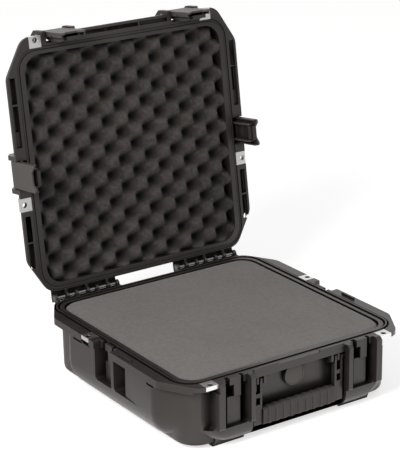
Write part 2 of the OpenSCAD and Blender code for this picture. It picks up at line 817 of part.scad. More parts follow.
// Cheeks beside a latch, in the station's frame
module cheek(x0, x1, depth) {
    rail(x0, x1, rounded([[depth + wall / 2, lid_z], [depth + wall / 2, lid_z + cheek_h],
        [8, lid_z + cheek_h], [-2, lid_z + cheek_h - 12], [-2, lid_z]], 2, 3));
}

// The hollow between the rim's lip and its seal band, split by ribs
module lid_hollows() {
    x0 = tub_x + seal_band + 1;
    side = max(half_w - lip_t, x0 + lid_setback + 2);
    both_sides() for (y = [-3.5 * rib_pitch + 1 : rib_pitch : 3 * rib_pitch]) {
        y1 = y + rib_pitch - rib_t;
        if (y1 < -bay_w / 2 - pillar_w || (y > eye_y + eye_w / 2 && y1 < back_y - pocket_end)) {
            block([x0, y, lid_z - 1], [side, y1, lid_z + pocket_d]);
            block([x0, y, lid_z - 1], [side - lid_setback + 1, y1, lid_z + pocket_deep]);
        }
    }
    // room for the raised lips of the base's side rims
    both_sides() block([x0, side_keel[0] - 1, lid_z - 1], [side, side_keel[1] + 1, lid_z + pocket_d]);
    for (x = [[-handle_bay + 0.5, -front_rib - rib_t / 2], [rib_t / 2 - front_rib, front_rib - rib_t / 2],
        [front_rib + rib_t / 2, handle_bay - 0.5]])
        block([x[0], front_y + lip_t, lid_z - 1], [x[1], -tub_y - seal_band - 0.5, lid_z + pocket_d]);
}

// A hood on the lid over each hinge, which hides the knuckles from behind when the lid is open
module hinge_hoods() {
    z = hinge_z + knuckle_r + hood_gap;
    both_sides() rail(hinge_in, hinge_end, [[back_y - lid_setback - 2, z], [hinge_y + hood_out, z],
        [hinge_y + hood_out, z + hood_t / 2], [hinge_y, z + hood_t],
        [back_y - lid_setback - 2, z + hood_t]]);
}

module lid_shell() color(shell_black) opened() difference() {
    union() {
        tub(tub_x, tub_y, tub_r, lid_z + 1, lid_top, draft_out, lid_round);
        difference() {
            union() {
                slab(rim_outline(0), lid_z, lid_z + lid_edge_h);
                slab(rim_outline(lid_setback), lid_z + 1, lid_z + lid_rim_h);
            }
            stations() block([-bay_w / 2, -10, lid_z - 1], [bay_w / 2, web_d + 2, lid_z + lid_rim_h + 1]);
            lid_hollows();
        }
        for (i = [0 : 3]) station(i) {
            depth = station_depth(i);
            cheek(-bay_w / 2 - pillar_w, -bay_w / 2, depth);
            cheek(bay_w / 2, bay_w / 2 + pillar_w, depth);
            block([-bay_w / 2 - 1, bridge_in, lid_z + bridge[0]],
                [bay_w / 2 + 1, depth + wall / 2, lid_z + bridge[0] + bridge[1]]);
        }
        top_frame();
        hinge_hoods();
        knuckles(1, [lid_z, lid_z + lid_rim_h]);
    }
    tub(inner_w / 2, inner_d / 2, inner_r, lid_z - 20, lid_top - panel_t, draft_in, 8);
    ring(tray(tub_x + seal_band / 2 + groove_w / 2, tub_y + rim_back / 2 + groove_w / 2, tub_r + 1.5),
        tray(tub_x + seal_band / 2 - groove_w / 2, tub_y + rim_back / 2 - groove_w / 2, tub_r - 4.5),
        lid_z - 1, lid_z + groove_d);
    eye_seats(lid_z, lid_z + lid_rim_h, lid_z - 1);
    hinge_bores();
    stations() rod(latch_pin_r + pin_play, -bay_w / 2 - pillar_w - 1, bay_w / 2 + pillar_w + 1,
        latch_pin_in, latch_pin_z);
}

module top_frame() {
    x = tub_x - lid_round - 12;
    y = tub_y - lid_round - 12;
    ring(tray(x, y, 24), tray(x - frame_w, y - frame_w, 14), lid_top - 1, lid_top + frame_h);
    for (k = [-1, 0, 1]) slab(tray(x - frame_w - 20, 5, 4), lid_top - 1, lid_top + frame_h);
}

module lid_seal() color(rubber_black) opened()
    ring(tray(tub_x + seal_band / 2 + groove_w / 2 - 0.5, tub_y + rim_back / 2 + groove_w / 2 - 0.5,
            tub_r + 1),
        tray(tub_x + seal_band / 2 - groove_w / 2 + 0.5, tub_y + rim_back / 2 - groove_w / 2 + 0.5,
            tub_r - 4),
        lid_z + ridge_h, lid_z + groove_d);

module lid_padlock_clips() color(steel) opened()
    for (i = [0 : 3]) eye_place(i) eye_clip(lid_z, lid_z + lid_rim_h);

// Egg-crate foam: a flat back and a waved face towards the opening
module lid_foam() color(foam_charcoal) opened() {
    hx = inner_w / 2 - draft_in - pad_gap;
    hy = inner_d / 2 - draft_in - pad_gap;
    nx = crate_steps[0];
    ny = crate_steps[1];
    back = lid_top - panel_t - 0.2;
    valley = back - crate_back;
    peak = lid_z + 0.5;
    round_in = function (u) hx - inner_r + inner_r * sqrt(max(0, 1 - pow(u, 2)));
    face = [for (j = [0 : ny], i = [0 : nx])
        let (y = -hy + 2 * hy * j / ny,
            over = max(0, (abs(y) - (hy - inner_r)) / inner_r),
            w = over > 0 ? round_in(over) : hx,
            x = w * (2 * i / nx - 1),
            wave = sin(180 * x / crate_pitch[0]) * sin(180 * y / crate_pitch[1]))
        [x, y, (valley + peak) / 2 + (peak - valley) / 2 * wave]];
    flat = [for (p = face) [p.x * (1 - crate_in / hx), p.y * (1 - crate_in / hy), back]];
    n = len(face);
    w = nx + 1;
    up = [for (j = [0 : ny - 1], i = [0 : nx - 1]) let (a = j * w + i) each
        [[a, a + 1, a + w + 1], [a, a + w + 1, a + w]]];
    down = [for (f = up) [f[2] + n, f[1] + n, f[0] + n]];
    rim = concat([for (i = [0 : nx]) i], [for (j = [1 : ny]) j * w + nx],
        [for (i = [nx - 1 : -1 : 0]) ny * w + i], [for (j = [ny - 1 : -1 : 1]) j * w]);
    side = [for (k = [0 : len(rim) - 1]) let (a = rim[k], b = rim[(k + 1) % len(rim)]) each
        [[a, a + n, b + n], [a, b + n, b]]];
    polyhedron(concat(face, flat), concat(up, down, side));
}

// ---- Latches, in the station's frame ----

module on_lid(i) {
    opened() station(i) children();
}

module latch_body() color(latch_grey) difference() {
    union() {
        translate([0, face_in + face_t, 0]) rotate([90, 0, 0]) linear_extrude(face_t)
            polygon(latch_face());
        both_sides() block([latch_w / 2 - flange_t, face_t, latch_end_z + 3],
            [latch_w / 2, face_t + flange_d, latch_pin_z - 8]);
        rod(barrel_r, -bay_w / 2 + 0.6, bay_w / 2 - 0.6, latch_pin_in, latch_pin_z);
        both_sides() rail(web_in, web_in + web_t, rounded([[face_t, latch_end_z + finger_notch + 3],
            [web_d - 3, latch_end_z + finger_notch + 3], [web_d, keeper_z + 4], [web_d, lid_z + 4],
            [latch_pin_in + barrel_r - 1, latch_pin_z], [face_t, latch_pin_z]], 1.5, 3));
        block([-web_in - 1, face_t, lid_z + 5], [web_in + 1, face_t + 5, lid_z + 8]);
    }
    rod(latch_pin_r + pin_play, -bay_w, bay_w, latch_pin_in, latch_pin_z);
    rod(trigger_pin_r + pin_play, -web_span, web_span, trigger_in, trigger_z);
}

// The face's outline in X and Z, with its concave end
function latch_face() = let (h = latch_w / 2, z = latch_end_z, n = finger_notch)
    rounded([[h, z], [h, latch_pin_z + 4], [-h, latch_pin_z + 4], [-h, z],
        [6 - h, z], [14 - h, z + n], [h - 14, z + n], [h - 6, z]], 2.5, 3);

module latch_pin() color(steel)
    rod(latch_pin_r, -bay_w / 2 - pillar_w + 0.3, bay_w / 2 + pillar_w - 0.3, latch_pin_in, latch_pin_z);

module trigger() color(rubber_black) difference() {
    y0 = trigger_in + 0.6;
    y1 = y0 + trigger_t;
    union() {
        rod(trigger_hub_r, -trigger_half, trigger_half, trigger_in, trigger_z);
        block([-trigger_half, y0, latch_end_z + 2], [trigger_half, y1, trigger_z]);
        rail(-trigger_half, trigger_half, [[y0, hook_top - hook_h - 3], [y1, hook_top - hook_h - 3],
            [keeper_in + hook_reach, hook_top - hook_h + 2], [keeper_in + hook_reach, hook_top],
            [y0, hook_top]]);
        rail(-trigger_half, trigger_half, [[y0, latch_end_z], [y1 + 3, latch_end_z],
            [y1, latch_end_z + 6], [y0, latch_end_z + 6]]);
    }
    rod(trigger_pin_r + pin_play, -web_span, web_span, trigger_in, trigger_z);
}

module trigger_pin() color(steel)
    rod(trigger_pin_r, -web_span / 2 + 0.3, web_span / 2 - 0.3, trigger_in, trigger_z);

// A leaf on the inside of the latch's face, bent to bear on the trigger near its hub
module trigger_spring() color(steel) {
    y = face_in + face_t;
    rail(-5, 5, [[y, trigger_z - 4], [y, trigger_z - 14], [y + leaf_t, trigger_z - 14],
        [y + leaf_t, trigger_z - 7], [trigger_in - 0.1, trigger_z - 5.5],
        [trigger_in - 0.1, trigger_z - 5.5 + leaf_t], [y + leaf_t, trigger_z - 5.5]]);
}

base_shell();
foam_bottom_pad();
foam_middle_pad();
foam_top_pad();
valve_cap();
valve_seal();
valve_nut();
handle_frame();
handle_grip();
handle_pins();
hinge_pin_left();
hinge_pin_right();
base_padlock_clips();
lid_shell();
lid_seal();
lid_foam();
lid_padlock_clips();
on_lid(0) latch_body();  // latch_body_front_left
on_lid(1) latch_body();  // latch_body_front_right
on_lid(2) latch_body();  // latch_body_left
on_lid(3) latch_body();  // latch_body_right
on_lid(0) latch_pin();  // latch_pin_front_left
on_lid(1) latch_pin();  // latch_pin_front_right
on_lid(2) latch_pin();  // latch_pin_left
on_lid(3) latch_pin();  // latch_pin_right
on_lid(0) trigger();  // trigger_hook_front_left
on_lid(1) trigger();  // trigger_hook_front_right
on_lid(2) trigger();  // trigger_hook_left
on_lid(3) trigger();  // trigger_hook_right
on_lid(0) trigger_pin();  // trigger_pin_front_left
on_lid(1) trigger_pin();  // trigger_pin_front_right
on_lid(2) trigger_pin();  // trigger_pin_left
on_lid(3) trigger_pin();  // trigger_pin_right
on_lid(0) trigger_spring();  // trigger_spring_front_left
on_lid(1) trigger_spring();  // trigger_spring_front_right
on_lid(2) trigger_spring();  // trigger_spring_left
on_lid(3) trigger_spring();  // trigger_spring_right
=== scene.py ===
"""An equipment case for a microphone, standing open: moulded base and lid, foam, latches, handle.

Lengths are in metres. The lid's foam is modelled in the shut lid and then turned open.
"""
import json
import math

import bpy
from mathutils import Matrix, Vector

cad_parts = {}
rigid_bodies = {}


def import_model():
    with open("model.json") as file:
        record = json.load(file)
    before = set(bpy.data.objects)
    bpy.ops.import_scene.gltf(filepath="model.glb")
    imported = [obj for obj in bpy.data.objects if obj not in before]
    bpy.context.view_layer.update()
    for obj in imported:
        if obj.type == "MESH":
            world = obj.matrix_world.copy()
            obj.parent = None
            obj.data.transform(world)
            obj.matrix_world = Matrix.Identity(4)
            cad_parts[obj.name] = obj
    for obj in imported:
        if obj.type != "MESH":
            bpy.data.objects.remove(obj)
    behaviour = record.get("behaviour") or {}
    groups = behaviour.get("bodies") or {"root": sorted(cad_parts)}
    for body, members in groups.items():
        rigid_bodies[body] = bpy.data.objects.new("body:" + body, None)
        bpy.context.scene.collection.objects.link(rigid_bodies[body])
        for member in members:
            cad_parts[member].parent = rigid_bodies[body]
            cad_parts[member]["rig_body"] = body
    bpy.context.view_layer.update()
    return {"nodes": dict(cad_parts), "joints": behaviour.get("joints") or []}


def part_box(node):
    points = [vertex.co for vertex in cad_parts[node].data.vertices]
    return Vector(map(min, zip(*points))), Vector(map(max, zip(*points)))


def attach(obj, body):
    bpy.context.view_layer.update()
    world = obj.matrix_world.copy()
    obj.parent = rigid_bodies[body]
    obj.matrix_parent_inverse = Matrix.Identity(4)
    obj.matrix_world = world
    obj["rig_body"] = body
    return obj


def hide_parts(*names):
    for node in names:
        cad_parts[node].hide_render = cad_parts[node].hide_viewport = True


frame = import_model()
NODES = frame["nodes"]
CORNERS = ("front_left", "front_right", "left", "right")


# ---- Materials ----

WHITE = (1, 1, 1, 1)
WARM_GLOSS = (1.0, 0.955, 0.915, 1)
DUST_COLOUR = (0.30, 0.29, 0.28)
# painted shade: what is left of a finish's colour deep in a pocket
PAINTED_PLASTIC_SHADE = (0.32, 0.29, 0.28)
PAINTED_FOAM_SHADE = (0.06, 0.05, 0.045)
POCKET_REACH = 0.022
CLOUD_SIZE = 11.0
STEEL_WARMTH = 0.98


def node_tree(material_name):
    """A new material with its Principled BSDF, for the nodes of one finish."""
    material = bpy.data.materials.new(material_name)
    material.use_nodes = True
    tree = material.node_tree
    return material, tree, tree.nodes["Principled BSDF"]


def add_node(tree, kind, x, y, **values):
    """A node at a place in the tree, with its settings and its unlinked inputs."""
    node = tree.nodes.new(kind)
    node.location = (x, y)
    for key, value in values.items():
        if hasattr(node, key):
            setattr(node, key, value)
        else:
            node.inputs[key.replace("_", " ")].default_value = value
    return node


def maths(tree, operation, a, b, x, y, clamp=False):
    """A Math node on two values, either of which may be a socket."""
    node = add_node(tree, "ShaderNodeMath", x, y, operation=operation, use_clamp=clamp)
    for socket, value in zip(node.inputs, (a, b)):
        if isinstance(value, bpy.types.NodeSocket):
            tree.links.new(value, socket)
        else:
            socket.default_value = value
    return node.outputs[0]


def ranged(tree, value, x, y, **ends):
    """A value spread from one range over another."""
    node = add_node(tree, "ShaderNodeMapRange", x, y, **ends)
    tree.links.new(value, node.inputs["Value"])
    return node.outputs[0]


def two_shades(tree, value, dark, light, span, x, y):
    """A colour between a dark and a light shade, by a value that runs over the span."""
    ramp = add_node(tree, "ShaderNodeValToRGB", x, y)
    for stop, position, colour in zip(ramp.color_ramp.elements, span, (dark, light)):
        stop.position = position
        stop.color = (*colour, 1)
    tree.links.new(value, ramp.inputs[0])
    return ramp.outputs[0]


def laid_over(tree, under, over, amount, x, y, blend="MIX"):
    """A plain colour laid over another by an amount from 0 to 1."""
    mix = add_node(tree, "ShaderNodeMixRGB", x, y, blend_type=blend, Color2=(*over, 1))
    tree.links.new(amount, mix.inputs["Fac"])
    tree.links.new(under, mix.inputs["Color1"])
    return mix.outputs[0]


def relief(tree, shader, height, strength, distance, x, y, normal=None):
    """Fine relief on the finish, over the piece's own surface or over a rounded one."""
    bump = add_node(tree, "ShaderNodeBump", x, y, Strength=strength, Distance=distance)
    tree.links.new(height, bump.inputs["Height"])
    if normal is not None:
        tree.links.new(normal, bump.inputs["Normal"])
    tree.links.new(bump.outputs[0], shader.inputs["Normal"])


def openness(tree, x, y, reach=POCKET_REACH):
    """How open a place is: near 1 on a free surface and near 0 deep in a pocket or groove."""
    around = add_node(tree, "ShaderNodeAmbientOcclusion", x, y, samples=8, Distance=reach)
    return around, ranged(tree, around.outputs["AO"], x + 300, y, From_Min=0.35, From_Max=0.88)


def new_group(name, inputs, outputs):
    """An empty shader node group with named float inputs and named outputs."""
    group = bpy.data.node_groups.new(name, "ShaderNodeTree")
    for title, default in inputs:
        socket = group.interface.new_socket(title, in_out="INPUT", socket_type="NodeSocketFloat")
        socket.default_value = default
    for title, kind in outputs:
        group.interface.new_socket(title, in_out="OUTPUT", socket_type=kind)
    given = add_node(group, "NodeGroupInput", -900, 0)
    return group, given, add_node(group, "NodeGroupOutput", 700, 0)


def mould_grain_group():
    """The fine leather-like grain of a moulded surface, and its slow change of shade."""
    group, given, result = new_group(
        "Mould grain", [("Grain Size", 900.0), ("Cloud Size", 9.0)],
        [("Height", "NodeSocketFloat"), ("Shade", "NodeSocketFloat")])
    place = add_node(group, "ShaderNodeTexCoord", -900, 300)
    cells = add_node(group, "ShaderNodeTexVoronoi", -500, 300, feature="SMOOTH_F1")
    specks = add_node(group, "ShaderNodeTexNoise", -500, 0, Detail=3.0, Roughness=0.6)
    clouds = add_node(group, "ShaderNodeTexNoise", -500, -300, Detail=4.0, Roughness=0.55)
    for texture, size in ((cells, "Grain Size"), (specks, "Grain Size"), (clouds, "Cloud Size")):
        group.links.new(place.outputs["Object"], texture.inputs["Vector"])
        group.links.new(given.outputs[size], texture.inputs["Scale"])
    low = maths(group, "MULTIPLY", cells.outputs["Distance"], 0.6, -200, 300)
    fine = maths(group, "MULTIPLY", specks.outputs[0], 0.4, -200, 0)
    group.links.new(maths(group, "ADD", low, fine, 100, 150), result.inputs["Height"])
    speckled = maths(group, "MULTIPLY", specks.outputs[0], 0.25, -200, -150)
    slow = maths(group, "MULTIPLY", clouds.outputs[0], 0.75, -200, -300)
    group.links.new(maths(group, "ADD", speckled, slow, 100, -200), result.inputs["Shade"])
    return group


def edge_group():
    """Where a piece has an outer edge, and the normal of that edge when rounded."""
    group, given, result = new_group(
        "Rounded edge", [("Radius", 0.001)],
        [("Rubbed", "NodeSocketFloat"), ("Normal", "NodeSocketVector")])
    rounded = add_node(group, "ShaderNodeBevel", -500, 200, samples=6)
    group.links.new(given.outputs["Radius"], rounded.inputs["Radius"])
    surface = add_node(group, "ShaderNodeNewGeometry", -500, -100)
    along = add_node(group, "ShaderNodeVectorMath", -200, 0, operation="DOT_PRODUCT")
    group.links.new(rounded.outputs[0], along.inputs[0])
    group.links.new(surface.outputs["Normal"], along.inputs[1])
    turned = maths(group, "SUBTRACT", 1.0, along.outputs["Value"], 0, 0)
    patches = add_node(group, "ShaderNodeTexNoise", -500, -400, Scale=60.0, Detail=3.0)
    place = add_node(group, "ShaderNodeTexCoord", -800, -400)
    group.links.new(place.outputs["Object"], patches.inputs["Vector"])
    strong = maths(group, "MULTIPLY", turned, 6.0, 150, 0, clamp=True)
    uneven = maths(group, "MULTIPLY", strong, patches.outputs[0], 350, -100, clamp=True)
    group.links.new(uneven, result.inputs["Rubbed"])
    group.links.new(rounded.outputs[0], result.inputs["Normal"])
    return group


def dust_group():
    """Dust that settles on faces that look up, thin and uneven."""
    group, given, result = new_group("Settled dust", [("Amount", 0.3)],
                                     [("Dust", "NodeSocketFloat")])
    surface = add_node(group, "ShaderNodeNewGeometry", -700, 200)
    split = add_node(group, "ShaderNodeSeparateXYZ", -500, 200)
    group.links.new(surface.outputs["Normal"], split.inputs[0])
    up = maths(group, "MAXIMUM", split.outputs["Z"], 0.0, -300, 200)
    place = add_node(group, "ShaderNodeTexCoord", -900, -200)
    motes = add_node(group, "ShaderNodeTexNoise", -500, -200, Scale=180.0, Detail=5.0,
                     Roughness=0.7)
    group.links.new(place.outputs["Object"], motes.inputs["Vector"])
    thin = ranged(group, motes.outputs[0], -300, -200, From_Min=0.5, From_Max=0.75)
    both = maths(group, "MULTIPLY", up, thin, 0, 0)
    laid = maths(group, "MULTIPLY", both, given.outputs["Amount"], 250, 0, clamp=True)
    group.links.new(laid, result.inputs["Dust"])
    return group


def recess_group():
    """The openness of a place, which sets the painted shade in the colour of plastic and of foam.
    """
    group, given, result = new_group("Recess", [("Reach", POCKET_REACH)],
                                     [("Open", "NodeSocketFloat")])
    around, free = openness(group, -300, 0)
    group.links.new(given.outputs["Reach"], around.inputs["Distance"])
    group.links.new(free, result.inputs["Open"])
    return group


GRAIN = mould_grain_group()
EDGE = edge_group()
DUST = dust_group()
RECESS = recess_group()


def put_group(tree, group, x, y, **values):
    """One of the shared groups, placed in a material with its own values."""
    return add_node(tree, "ShaderNodeGroup", x, y, node_tree=group, **values)


def moulded(name, dark, light, rubbed, roughness=0.5, grain=700.0, depth=0.00006,
            radius=0.0009, dust=0.12, wear=0.5):
    """A moulded plastic or rubber finish: grained, a little clouded, paler on rubbed edges, with
    painted shade darkening its colour and dimming its gloss in pockets and grooves.
    """
    material, tree, shader = node_tree(name)
    shader.inputs["Specular Tint"].default_value = WARM_GLOSS
    texture = put_group(tree, GRAIN, -900, 200, Grain_Size=grain, Cloud_Size=CLOUD_SIZE)
    edge = put_group(tree, EDGE, -900, -100, Radius=radius)
    settled = put_group(tree, DUST, -900, -400, Amount=dust)
    recess = put_group(tree, RECESS, -900, -650)
    colour = two_shades(tree, texture.outputs["Shade"], dark, light, (0.3, 0.7), -650, 350)
    worn = maths(tree, "MULTIPLY", edge.outputs["Rubbed"], wear, -550, 0)
    colour = laid_over(tree, colour, rubbed, worn, -350, 300)
    colour = laid_over(tree, colour, DUST_COLOUR, settled.outputs["Dust"], -150, 250)
    # painted shade: the colour darkens by how closed in a place is, standing in for shade in
    # pockets and grooves
    painted_shade = maths(tree, "SUBTRACT", 1.0, recess.outputs["Open"], -350, -450)
    colour = laid_over(tree, colour, PAINTED_PLASTIC_SHADE, painted_shade, 0, 350, blend="MULTIPLY")
    tree.links.new(colour, shader.inputs["Base Color"])
    # painted shade in the gloss: the specular level fades in pockets, so they reflect less where
    # shade falls; these nodes stand in the material, as no group feeds the gloss
    free = openness(tree, -900, -900)[1]
    gloss = ranged(tree, free, -150, -700, To_Min=0.02, To_Max=0.5)
    tree.links.new(gloss, shader.inputs["Specular IOR Level"])
    rough = ranged(tree, texture.outputs["Shade"], -350, 0, To_Min=roughness - 0.05,
                   To_Max=roughness + 0.1)
    tree.links.new(rough, shader.inputs["Roughness"])
    relief(tree, shader, texture.outputs["Height"], 0.5, depth, -250, -250,
           normal=edge.outputs["Normal"])
    return material


def brushed_steel(name, dark, light):
    """Steel with fine lines along X and rounded edges, between two levels of brightness."""
    material, tree, shader = node_tree(name)
    shader.inputs["Metallic"].default_value = 1.0
    place = add_node(tree, "ShaderNodeTexCoord", -1100, 100)
    stretch = add_node(tree, "ShaderNodeMapping", -900, 100, Scale=(40.0, 1400.0, 1400.0))
    tree.links.new(place.outputs["Object"], stretch.inputs[0])
    lines = add_node(tree, "ShaderNodeTexNoise", -700, 100, Scale=1.0, Detail=3.0)
    tree.links.new(stretch.outputs[0], lines.inputs["Vector"])
    dull, bright = ((level, level, STEEL_WARMTH * level) for level in (dark, light))
    colour = two_shades(tree, lines.outputs[0], dull, bright, (0.0, 1.0), -450, 250)
    tree.links.new(colour, shader.inputs["Base Color"])
    rough = ranged(tree, lines.outputs[0], -450, 0, To_Min=0.22, To_Max=0.42)
    tree.links.new(rough, shader.inputs["Roughness"])
    edge = put_group(tree, EDGE, -700, -250, Radius=0.0004)
    relief(tree, shader, lines.outputs[0], 0.3, 0.00003, -250, -200,
           normal=edge.outputs["Normal"])
    return material


def foam(name, dark, light, pores, depth, reach=0.004):
    """Open-cell foam: fine pores, slightly mottled, with no gloss, and painted shade darkening its
    hollows.
    """
    material, tree, shader = node_tree(name)
    shader.inputs["Sheen Weight"].default_value = 0.15
    shader.inputs["Sheen Roughness"].default_value = 0.6
    shader.inputs["Specular IOR Level"].default_value = 0.15
    place = add_node(tree, "ShaderNodeTexCoord", -1100, 100)
    cells = add_node(tree, "ShaderNodeTexVoronoi", -800, 300, Scale=pores)
    mottle = add_node(tree, "ShaderNodeTexNoise", -800, 0, Scale=pores * 0.28, Detail=6.0,
                      Roughness=0.7)
    broad = add_node(tree, "ShaderNodeTexNoise", -800, -300, Scale=7.0, Detail=2.0)
    for texture in (cells, mottle, broad):
        tree.links.new(place.outputs["Object"], texture.inputs["Vector"])
    fine = maths(tree, "MULTIPLY", cells.outputs["Distance"], 0.5, -550, 300)
    shade = maths(tree, "ADD", maths(tree, "MULTIPLY", mottle.outputs[0], 0.75, -550, 0),
                  maths(tree, "MULTIPLY", broad.outputs[0], 0.25, -550, -300), -350, -100)
    colour = two_shades(tree, shade, dark, light, (0.32, 0.68), -150, 250)
    # painted shade: the colour darkens by how closed in the foam's hollows are, over the reach
    # given
    recess = put_group(tree, RECESS, -900, -650, Reach=reach)
    painted_shade = maths(tree, "SUBTRACT", 1.0, recess.outputs["Open"], -350, -450)
    colour = laid_over(tree, colour, PAINTED_FOAM_SHADE, painted_shade, 50, 350, blend="MULTIPLY")
    tree.links.new(colour, shader.inputs["Base Color"])
    rough = ranged(tree, mottle.outputs[0], -150, 0, To_Min=0.88, To_Max=1.0)
    tree.links.new(rough, shader.inputs["Roughness"])
    relief(tree, shader, maths(tree, "ADD", fine, mottle.outputs[0], -350, 200), 0.8, depth,
           -150, -250)
    return material


SHELL = moulded("Moulded shell", dark=(0.020, 0.0175, 0.0168), light=(0.031, 0.0275, 0.0265),
                rubbed=(0.085, 0.079, 0.076), roughness=0.3, wear=0.45, dust=0.03)
LATCH = moulded("Latch plastic", dark=(0.048, 0.0435, 0.042), light=(0.066, 0.0605, 0.0585),
                rubbed=(0.12, 0.112, 0.109), roughness=0.42, wear=0.35, dust=0.05)
TRIM = moulded("Dark plastic", dark=(0.012, 0.011, 0.0105), light=(0.02, 0.018, 0.0175),
               rubbed=(0.06, 0.057, 0.055), roughness=0.38, wear=0.3, dust=0.03)
RUBBER = moulded("Rubber", dark=(0.02, 0.019, 0.018), light=(0.034, 0.032, 0.031),
                 rubbed=(0.07, 0.068, 0.066), roughness=0.7, grain=1500.0, dust=0.05, wear=0.2)
GRIP = moulded("Grip rubber", dark=(0.034, 0.031, 0.030), light=(0.050, 0.046, 0.045),
               rubbed=(0.10, 0.095, 0.09), roughness=0.65, grain=1300.0, depth=0.0001)
STEEL = brushed_steel("Brushed steel", dark=0.60, light=0.86)
PIN_STEEL = brushed_steel("Dull steel", dark=0.13, light=0.30)
GREY_FOAM = foam("Grey foam", dark=(0.10, 0.095, 0.090), light=(0.165, 0.157, 0.151),
                 pores=650.0, depth=0.0005)
# its painted shade reaches across the whole valleys between the waves
WAVED_FOAM = foam("Charcoal foam", dark=(0.017, 0.0143, 0.0132), light=(0.078, 0.068, 0.0635),
                  pores=520.0, depth=0.0009, reach=0.04)


def all_latches(*parts):
    """The nodes of those parts, in each of the four latches."""
    return tuple(part + "_" + corner for part in parts for corner in CORNERS)


FINISHES = [
    (SHELL, ("base_shell", "lid_shell", "handle_frame", "valve_nut")),
    (LATCH, ("valve_cap", *all_latches("latch_body"))),
    (TRIM, all_latches("trigger_hook")),
    (RUBBER, ("valve_seal", "lid_seal")),
    (GRIP, ("handle_grip",)),
    (PIN_STEEL, ("handle_pins", "hinge_pin_left", "hinge_pin_right")),
    (STEEL, ("base_padlock_clips", "lid_padlock_clips",
             *all_latches("latch_pin", "trigger_pin", "trigger_spring"))),
    (GREY_FOAM, ("foam_bottom_pad", "foam_middle_pad", "foam_top_pad")),
    (WAVED_FOAM, ("lid_foam",)),
]


def finish_piece(piece, material):
    piece.data.materials.clear()
    piece.data.materials.append(material)


for material, names in FINISHES:
    for name in names:
        finish_piece(NODES[name], material)


# ---- Mouldings ----

MERGE_DISTANCE = 0.00001
FLAT_ANGLE = math.radians(0.5)
SMOOTH_ANGLE = math.radians(38)


def softened(node, name, width, angle=32, segments=2):
    """A copy of a CAD node with merged faces and rounded edges, which takes the node's place."""
    source = NODES[node]
    piece = bpy.data.objects.new(name, source.data.copy())
    bpy.context.scene.collection.objects.link(piece)
    bpy.ops.object.select_all(action="DESELECT")
    piece.select_set(True)
    bpy.context.view_layer.objects.active = piece
    bpy.ops.object.mode_set(mode="EDIT")
    bpy.ops.mesh.select_all(action="SELECT")
    bpy.ops.mesh.remove_doubles(threshold=MERGE_DISTANCE)
    bpy.ops.mesh.customdata_custom_splitnormals_clear()
    bpy.ops.mesh.dissolve_limited(angle_limit=FLAT_ANGLE)
    bpy.ops.object.mode_set(mode="OBJECT")
    bevel = piece.modifiers.new("Rounded edges", "BEVEL")
    bevel.width = width
    bevel.segments = segments
    bevel.limit_method = "ANGLE"
    bevel.angle_limit = math.radians(angle)
    bevel.miter_outer = "MITER_ARC"
    even = piece.modifiers.new("Even shading", "WEIGHTED_NORMAL")
    even.keep_sharp = True
    bpy.ops.object.shade_smooth_by_angle(angle=SMOOTH_ANGLE)
    for modifier in (bevel.name, even.name):
        bpy.ops.object.modifier_apply(modifier=modifier)
    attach(piece, source["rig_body"])
    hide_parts(node)


softened("base_shell", "base_moulding", 0.0007)
softened("lid_shell", "lid_moulding", 0.0006)
softened("handle_frame", "handle_bow", 0.0012, segments=3)
softened("handle_grip", "ribbed_grip", 0.0022, angle=28, segments=4)
softened("valve_cap", "valve_button", 0.0006)
for corner in CORNERS:
    softened("latch_body_" + corner, "latch_" + corner, 0.0005)


# ---- Foam ----

FOAM_CORNER = 0.030
FOAM_SMOOTH = math.radians(50)
# the waved foam in the shut lid: the pitch and the height of its waves, and its flat back
WAVE_X = 0.0266
WAVE_Y = 0.0239
PEAK_Z = 0.119
VALLEY_Z = 0.149
BACK_Z = 0.1693
WAVE_NARROW = 1.4
WAVED_HALF = 0.1958
WAVED_CELLS = 176

lid_hinge = next(joint for joint in frame["joints"] if joint["name"] == "lid_hinge")
hinge = Vector(lid_hinge["pos_m"])
lid_open = math.radians(lid_hinge["range_deg"][1])
OPEN = (Matrix.Translation(hinge) @ Matrix.Rotation(-lid_open, 4, "X")
        @ Matrix.Translation(-hinge))


def depth_in_tray(x, y, half):
    """How far a point in plan lies inside a tray of that half width with rounded corners."""
    dx, dy = (abs(across) - (half - FOAM_CORNER) for across in (x, y))
    if dx <= 0 or dy <= 0:
        return FOAM_CORNER - max(dx, dy)
    return FOAM_CORNER - math.hypot(dx, dy)


def pull_into_tray(x, y, half):
    """Moves a point of a square of that half width into a tray with rounded corners."""
    reach = max(abs(x), abs(y))
    if reach < 1e-6:
        return x, y
    edge_x, edge_y = (abs(along) / reach * half for along in (x, y))
    centre = half - FOAM_CORNER
    pull = 1.0
    if edge_x > centre and edge_y > centre:
        # the ray from the middle meets the rounded corner
        a = edge_x * edge_x + edge_y * edge_y
        b = edge_x * centre + edge_y * centre
        c = centre * centre + centre * centre - FOAM_CORNER * FOAM_CORNER
        pull = (b + math.sqrt(max(0.0, b * b - a * c))) / a
    scale = 1 + (pull - 1) * (reach / half) ** 4
    return x * scale, y * scale


